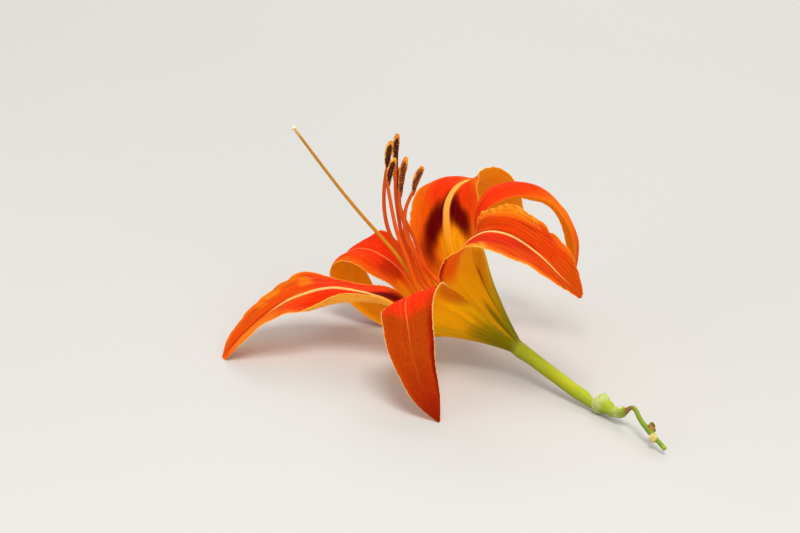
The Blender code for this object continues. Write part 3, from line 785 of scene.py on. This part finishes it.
def addTube(name, rings, material, node):
    # a rolled sheet, its seam merged and its two ends filled
    ob = addSheet(name, toWorld(rings))[0]
    bpy.ops.object.mode_set(mode="EDIT")
    bpy.ops.mesh.select_all(action="SELECT")
    bpy.ops.mesh.remove_doubles(threshold=joining["seam"])
    bpy.ops.mesh.select_all(action="DESELECT")
    bpy.ops.mesh.select_mode(type="EDGE")
    bpy.ops.mesh.select_non_manifold(extend=False, use_wire=False, use_multi_face=False,
                                     use_non_contiguous=False, use_verts=False)
    bpy.ops.mesh.fill_holes(sides=0)
    bpy.ops.mesh.select_all(action="SELECT")
    bpy.ops.mesh.normals_make_consistent(inside=False)
    bpy.ops.mesh.select_mode(type="VERT")
    bpy.ops.object.mode_set(mode="OBJECT")
    ob.data.materials.append(material)
    bpy.ops.object.shade_smooth_by_angle(angle=radians(joining["tubeAngle"]))
    keepPiece(ob, node)


def addLump(name, centre, radii, lumpy, seed, material, node):
    # an uneven ball
    deselect()
    bpy.ops.mesh.primitive_ico_sphere_add(subdivisions=5, radius=1)
    ob = bpy.context.object
    ob.name = ob.data.name = name
    flat = np.empty(len(ob.data.vertices) * 3)
    ob.data.vertices.foreach_get("co", flat)
    points = flat.reshape(-1, 3)
    swell = np.array([noise.noise(Vector(p) * 1.7 + Vector((seed, 0, 0)))
                      + lumpy * noise.noise(Vector(p) * 5.0) for p in points])
    points = points * (1 + lumpy * swell)[:, None] * np.array(radii)
    ob.data.vertices.foreach_set("co", toWorld(picturePoint(*centre) + points).ravel())
    ob.data.update()
    ob.data.materials.append(material)
    bpy.ops.object.shade_smooth()
    keepPiece(ob, node)


# Filament and anther sizes in mm, widths from foot to end. heel is how far an anther reaches back past its
# filament's end, beside how far it sits off it, bow its bend, and brown lists those with brown pollen. Each
# stamen has its foot's place round the funnel and distance from the axis, its way through the picture, and
# the far end of its anther.
stamen = dict(footHeight=8, throatHeight=15, throatRadius=3.6, stalk=(0.68, 0.64, 0.56, 0.48), gap=0.3,
              endSteps=(0.3, 0.7, 0.95), endWidths=(0.42, 0.34, 0.12), antherWide=0.95, antherDeep=0.62,
              groove=0.36, heel=0.6, beside=0.4, bow=0.5, narrow=0.66, broad=1.1, pollen=0.07, brown=(4, 5),
              stalkGrid=(100, 18), headGrid=(90, 44), tints=[
                  (0.0, (0.86, 0.4, 0.01)), (0.25, (0.9, 0.22, 0.005)), (0.5, (0.7, 0.078, 0.002)),
                  (0.93, (0.56, 0.075, 0.006)), (1.0, (0.42, 0.07, 0.01))])
pollens = dict(black=((0.01, 0.003, 0.001), (0.14, 0.026, 0.005)),
               brown=((0.05, 0.01, 0.003), (0.36, 0.08, 0.012)),
               gold=((0.5, 0.13, 0.012), (0.84, 0.34, 0.03)))
stamens = [
    (183, 3.4, [(446, 300, 7), (427, 289, 8.5), (415, 276, 9), (405, 262, 9.5), (396, 247, 10),
                (387, 225, 11), (384, 205, 12), (384.5, 185, 13), (386.3, 171, 14)], (391.6, 141, 15)),
    (123, 4.2, [(446, 293, 11), (427, 284, 13), (408, 250, 16), (402, 235, 17), (399, 220, 18),
                (395.5, 190, 19.5), (395.5, 168, 20.5)], (397.5, 134, 22)),
    (243, 4.2, [(444, 308, 1), (424, 297, 0), (409, 264, 1.5), (397, 232, 4.5), (392, 210, 6.5),
                (387.5, 185, 8.5)], (395.5, 158, 10)),
    (3, 4.2, [(452, 292, 6), (434, 278, 9), (412, 245, 12), (403, 220, 14), (399.5, 205, 15),
              (399.5, 196, 15.5)], (406.5, 157, 17)),
    (303, 3.4, [(450, 298, 2), (431, 287, 3.5), (415, 255, 4.5), (407, 240, 5), (404.5, 222, 5.5),
                (406.5, 206, 6), (411.9, 194, 6)], (423, 166.5, 6)),
    (63, 3.4, [(452, 286, 12), (433, 276, 15), (415, 240, 19), (402, 213, 22), (397.5, 192, 24)],
     (398, 167, 25.5)),
]


def stalkFinish(name, streaks, stops):
    f = Finish(name, Subsurface_Weight=0.25, Subsurface_Radius=(1.0, 0.35, 0.1), Subsurface_Scale=0.0006,
               Specular_IOR_Level=0.06)
    around, along = f.surface()
    streak = f.blotch(f.stretched(around * 9, along * streaks), 1.0, 2.0)
    grain = f.blotch(f.place(), 2200.0)
    colour = f.shade(f.ramp(stops, along), 0.8 + 0.4 * streak)
    return f.close(colour, 0.42 + 0.16 * grain, streak + grain * 0.3, 0.2, 0.0001)


def antherFinish(tint):
    f = Finish(tint + "Pollen", Specular_IOR_Level=0.15)
    around, along = f.surface()
    grain = f.blotch(f.place(), 2400.0, 2.0, 0.7)
    clump = f.blotch(f.place(), 900.0, 3.0)
    rim = abs(abs(around * 4 - 2) - 1)  # 1 at the two edges and 0 down the middle of each flat
    tip = f.rise(along, 0.74, 0.98)
    dark = f.mix(*pollens[tint], f.rise(grain, 0.45, 0.62))
    gold = f.mix(*pollens["gold"], f.rise(clump, 0.3, 0.7))
    edge = rim * (0.82 + 0.3 * along) + tip * 0.7
    dust = f.rise(edge + (clump - 0.5) * 0.3 + (grain - 0.5) * 0.5, 0.46, 0.74)
    return f.close(f.mix(dark, gold, dust), 0.65 + 0.25 * grain, grain + clump * 0.6, 0.6, 0.0002)


def antherSection(angle):
    # two long lobes with a groove down each flat
    r = 1 - stamen["groove"] * np.abs(np.sin(angle)) ** 8
    return stamen["antherWide"] * r * np.cos(angle), stamen["antherDeep"] * r * np.sin(angle)


def addFilament(k, around, radius, path, start, ahead):
    foot = ringPoint(around, stamen["footHeight"], radius)
    throat = ringPoint(around, stamen["throatHeight"], stamen["throatRadius"])
    rows, columns = stamen["stalkGrid"]
    line, widths = smoothLine([foot, throat] + path, stamen["stalk"], rows)
    line = np.vstack([line, start + ahead * np.array(stamen["endSteps"])[:, None]])
    widths = np.concatenate([widths, stamen["endWidths"]])
    widths = widths * (1 + 0.03 * ripple(np.linspace(0, 1, len(widths)), k, 4, 14))
    rings = ringsAlong(line, widths, columns)
    addTube("filamentStalk%d" % k, rings, filamentSkin, "filament_%d" % k)


def addAnther(k, start, end, ahead):
    rows, columns = stamen["headGrid"]
    part = np.linspace(0, 1, rows)
    bend = unit(np.cross(end - start, (0, 1, 0)))
    heel = start - ahead * stamen["heel"] - bend * stamen["beside"]
    line = heel + (end - heel) * part[:, None] + bend * stamen["bow"] * np.sin(pi * part)[:, None]
    widths = 0.16 + 0.84 * np.sin(pi * (0.004 + 0.992 * part)) ** 0.3
    widths = widths * (stamen["narrow"] + (stamen["broad"] - stamen["narrow"]) * smoothStep(part, 0, 0.8))
    bumps = np.random.default_rng(40 + k).normal(0, 1, (rows, columns))
    for again in range(2):
        bumps = (bumps + np.roll(bumps, 1, 0) + np.roll(bumps, -1, 0)) / 3 * 1.4

    def pollen(angle, where):
        row = bumps[round(where * (rows - 1))]
        edge = 0.4 + 0.6 * np.abs(np.cos(angle))
        return 1 + stamen["pollen"] * edge * np.append(row, row[0]) * min(1, 8 * where, 8 * (1 - where))

    rings = ringsAlong(line, widths, columns, antherSection, pollen)
    skin = antherSkins["brown" if k in stamen["brown"] else "black"]
    addTube("antherHead%d" % k, rings, skin, "anther_%d" % k)


def addStamen(k, around, radius, path, farEnd):
    path = [picturePoint(*p) for p in path]
    end = picturePoint(*farEnd)
    ahead = unit(end - path[-1])
    start = path[-1] + ahead * stamen["gap"]
    addFilament(k, around, radius, path, start, ahead)
    addAnther(k, start, end, ahead)


filamentSkin = stalkFinish("filamentSkin", 14, stamen["tints"])
antherSkins = dict(black=antherFinish("black"), brown=antherFinish("brown"))
for k, one in enumerate(stamens, 1):
    addStamen(k, *one)
print("stamens made")

# Heights, widths and the stigma's steps past the path's end in mm, and its path as column, row and mm away.
style = dict(footHeight=1.75, grid=(150, 20),
             widths=(0.58, 0.6, 0.6, 0.58, 0.56, 0.53, 0.49, 0.46, 0.43, 0.41, 0.39),
             tipSteps=(0.12, 0.3, 0.5, 0.72, 0.92, 1.06, 1.14),
             tipWidths=(0.48, 0.64, 0.76, 0.78, 0.66, 0.42, 0.1),
             path=((464, 306, 4.4), (440, 303, 4), (422, 291, 4), (406.5, 268.4, 4.5), (389.3, 246, 6),
                   (369.2, 223.6, 8), (339, 187.6, 11), (319, 161.6, 13), (295, 129.6, 14)),
             tints=[(0.0, (0.62, 0.48, 0.06)), (0.35, (0.62, 0.22, 0.006)), (0.6, (0.48, 0.185, 0.008)),
                    (0.92, (0.42, 0.19, 0.02)), (0.955, (0.6, 0.38, 0.12)), (0.97, (0.82, 0.76, 0.52))])


def stigmaLobes(angle, where):
    return 1 + 0.1 * np.cos(3 * angle) * smoothStep(where, 0.95, 0.98)


def addStyle():
    path = [axis * style["footHeight"]] + [picturePoint(*p) for p in style["path"]]
    rows, columns = style["grid"]
    line, widths = smoothLine(path, style["widths"], rows)
    tip = line[-1] + unit(line[-1] - line[-2]) * np.array(style["tipSteps"])[:, None]
    line = np.vstack([line, tip])
    widths = np.concatenate([widths, style["tipWidths"]])
    skin = stalkFinish("styleSkin", 30, style["tints"])
    addTube("styleStalk", ringsAlong(line, widths, columns, swell=stigmaLobes), skin, "pistil")


addStyle()
print("style made")

greens = dict(
    lime=(0.4, 0.43, 0.006), moss=(0.22, 0.215, 0.003), grass=(0.36, 0.44, 0.01), pale=(0.56, 0.6, 0.22),
    mint=(0.5, 0.6, 0.16), stalk=(0.32, 0.44, 0.02), brown=(0.3, 0.16, 0.04), leaf=(0.2, 0.3, 0.012),
    shade=(0.1, 0.14, 0.006))
# A row is its place, as a height up the funnel's axis or as column, row and mm away, its radius and colour.
tube = dict(grid=(130, 48), rows=[
    (1.5, 2.44, "moss"), (0, 2.1, "moss"), (-1.5, 2.1, "lime"),
    ((526, 354.2, -1.3), 2.0, "lime"), ((545, 368.3, -4), 1.85, "lime"), ((563, 381.8, -7.1), 1.8, "lime"),
    ((577, 392, -9.7), 1.8, "lime"), ((585, 397.5, -11.3), 1.65, "grass"),
    ((590.5, 402.8, -12.6), 1.25, "grass"), ((595.5, 405.4, -13.9), 1.15, "grass")])
stem = dict(grid=(240, 48), rows=[
    ((594, 405.2, -13.4), 1.1, "grass"), ((596.4, 405.2, -14), 1.85, "mint"),
    ((601.5, 404.4, -15.1), 2.4, "pale"), ((607.5, 408, -16.8), 1.8, "grass"),
    ((612.5, 411.7, -18.2), 1.4, "stalk"), ((619, 412.2, -20), 1.6, "mint"),
    ((624, 411.4, -21.5), 1.2, "stalk"), ((627.5, 409.8, -22.4), 0.7, "brown"),
    ((631.5, 407.8, -23.5), 0.6, "brown"), ((635.5, 410, -25), 0.62, "leaf"),
    ((639, 417, -27), 0.65, "leaf"), ((645, 426, -29.7), 0.7, "leaf"), ((652.3, 434.5, -32.3), 0.8, "leaf"),
    ((657, 440, -33.8), 0.62, "leaf"), ((661, 444.5, -35), 0.6, "leaf"), ((665, 449, -36), 0.62, "stalk")])


def greenFinish(name, stops):
    f = Finish(name, Subsurface_Weight=0.2, Subsurface_Radius=(0.6, 0.7, 0.1), Subsurface_Scale=0.0008,
               Specular_IOR_Level=0.25)
    around, along = f.surface()
    turned = f.node("Math", {"operation": "SINE"}, {0: around * (2 * pi)})
    paintedTopLight = f.node("Math", {"operation": "COSINE"}, {0: around * (2 * pi)})
    streak = f.blotch(f.stretched(turned * 3, along * 5), 1.0, 3.0)
    cloud = f.blotch(f.place(), 260.0, 3.0)
    grain = f.blotch(f.place(), 2400.0)
    colour = f.ramp(stops, along + (cloud - 0.5) * 0.03)
    colour = f.mix(colour, greens["shade"], f.rise(streak, 0.5, 0.8) * 0.3)
    # Painted shade: the stalk is made lighter on its top side and darker underneath, as light from above
    # would make it.
    colour = f.shade(colour, 0.72 + 0.21 * paintedTopLight + 0.22 * cloud + 0.2 * grain)
    return f.close(colour, 0.45 + 0.22 * grain, streak + grain * 0.4, 0.25, 0.00014)


def addStalk(name, stalk, swell, node):
    places, radii, tints = zip(*stalk["rows"])
    path = [picturePoint(*at) if isinstance(at, tuple) else axis * at for at in places]
    stops = [(float(share), greens[tint]) for share, tint in zip(shareOfRows(np.array(path)), tints)]
    rows, columns = stalk["grid"]
    line, widths = smoothLine(path, radii, rows)
    rings = ringsAlong(line, widths, columns, swell=swell, side=axisRight)
    addTube(name, rings, greenFinish(name + "Green", stops), node)


def tubeSwell(angle, where):
    # its top follows the three outer blades
    return 1 + 0.045 * np.cos(3 * (angle + radians(3))) * (1 - smoothStep(where, 0, 0.12))


def stemSwell(angle, where):
    lump = np.array([noise.noise(Vector((cos(a) * 1.3, sin(a) * 1.3, where * 26))) for a in angle])
    return 1 + 0.16 * lump * (1 - smoothStep(where, 0.3, 0.5)) + 0.06 * lump


def lumpFinish(name, low, high):
    f = Finish(name, Subsurface_Weight=0.2, Subsurface_Radius=(0.6, 0.6, 0.1), Subsurface_Scale=0.0006,
               Specular_IOR_Level=0.06)
    grain = f.blotch(f.place(), 700.0, 2.0)
    return f.close(f.mix(low, high, f.rise(grain, 0.35, 0.65)), 0.6, grain, 0.3, 0.0001)


addStalk("floralTubeWall", tube, tubeSwell, "floral_tube")
addStalk("stemWall", stem, stemSwell, "stem")

# Small growths on the stem: centre, the three half sizes in mm, how uneven, and their skin.
skins = dict(pale=lumpFinish("paleGrowth", (0.42, 0.53, 0.12), (0.6, 0.66, 0.3)),
             white=lumpFinish("whiteScar", (0.5, 0.56, 0.2), (0.66, 0.68, 0.4)),
             brown=lumpFinish("driedBud", (0.16, 0.07, 0.01), (0.42, 0.24, 0.05)),
             cream=lumpFinish("creamBud", (0.52, 0.4, 0.1), (0.7, 0.6, 0.24)))
growths = [
    ((603.8, 398.2, -15.8), (1.5, 1.3, 1.4), 0.08, "pale"),
    ((620.2, 408.9, -21.2), (0.8, 0.55, 0.6), 0.1, "white"),
    ((651.3, 427.5, -31.2), (1.0, 0.9, 1.15), 0.6, "brown"),
    ((653.3, 438, -33.4), (1.2, 1.15, 1.25), 0.06, "cream"),
]
for k, (centre, radii, lumpy, skin) in enumerate(growths, 1):
    addLump("stemGrowth%d" % k, centre, radii, lumpy, float(k), skins[skin], "stem")
print("tube and stem made")

studio = dict(floor=((0.58, 0.57, 0.55), (0.63, 0.62, 0.6)), air=(0.95, 0.95, 0.93), strength=0.62)


def floorFinish():
    f = Finish("paleFloor", Specular_IOR_Level=0.2)
    cloud = f.blotch(f.place(), 3.0, 3.0)
    return f.close(f.mix(*studio["floor"], cloud), 0.8)


deselect()
bpy.ops.mesh.primitive_plane_add(size=8)
floor = bpy.context.object
floor.name = "floor"
floor.data.materials.append(floorFinish())

lights = dict(
    key=dict(place=(0.0, -0.4, 0.95), size=0.45, power=6.4, tint=(1.0, 0.98, 0.95)),
    fill=dict(place=(0.5, -0.8, 0.35), size=0.7, power=2.1, tint=(1.0, 0.99, 0.97)),
    left=dict(place=(-0.7, -0.55, 0.25), size=0.6, power=1.5, tint=(1.0, 0.98, 0.95)),
    back=dict(place=(0.1, 0.75, 0.6), size=0.5, power=2.4, tint=(1.0, 0.98, 0.95)),
)
for name, lamp in lights.items():
    bpy.ops.object.light_add(type="AREA", location=lamp["place"])
    ob = bpy.context.object
    ob.name = name
    ob.data.size = lamp["size"]
    ob.data.energy = lamp["power"]
    ob.data.color = lamp["tint"]
    ob.rotation_euler = (Vector((0, 0, 0.02)) - Vector(lamp["place"])).to_track_quat("-Z", "Y").to_euler()

world = bpy.data.worlds.new("studio")
bpy.context.scene.world = world
world.use_nodes = True
world.node_tree.nodes["Background"].inputs[0].default_value = (*studio["air"], 1)
world.node_tree.nodes["Background"].inputs[1].default_value = studio["strength"]

bpy.ops.object.camera_add()
camera = bpy.context.object
camera.name = "camera"
camera.data.lens = view["lens"]
camera.data.sensor_width = view["sensor"]
camera.data.clip_start = 0.01
placed = np.eye(4)
placed[:3, :3] = turn @ np.array([[1, 0, 0], [0, 0, -1], [0, 1, 0]], float)  # its right, its up and back
placed[:3, 3] = toWorld(np.array([view["centre"][0], -view["distance"], view["centre"][1]]))
camera.matrix_world = Matrix(placed.tolist())
bpy.context.scene.camera = camera
bpy.context.scene.view_settings.view_transform = "Standard"
print("floor, light and camera set")
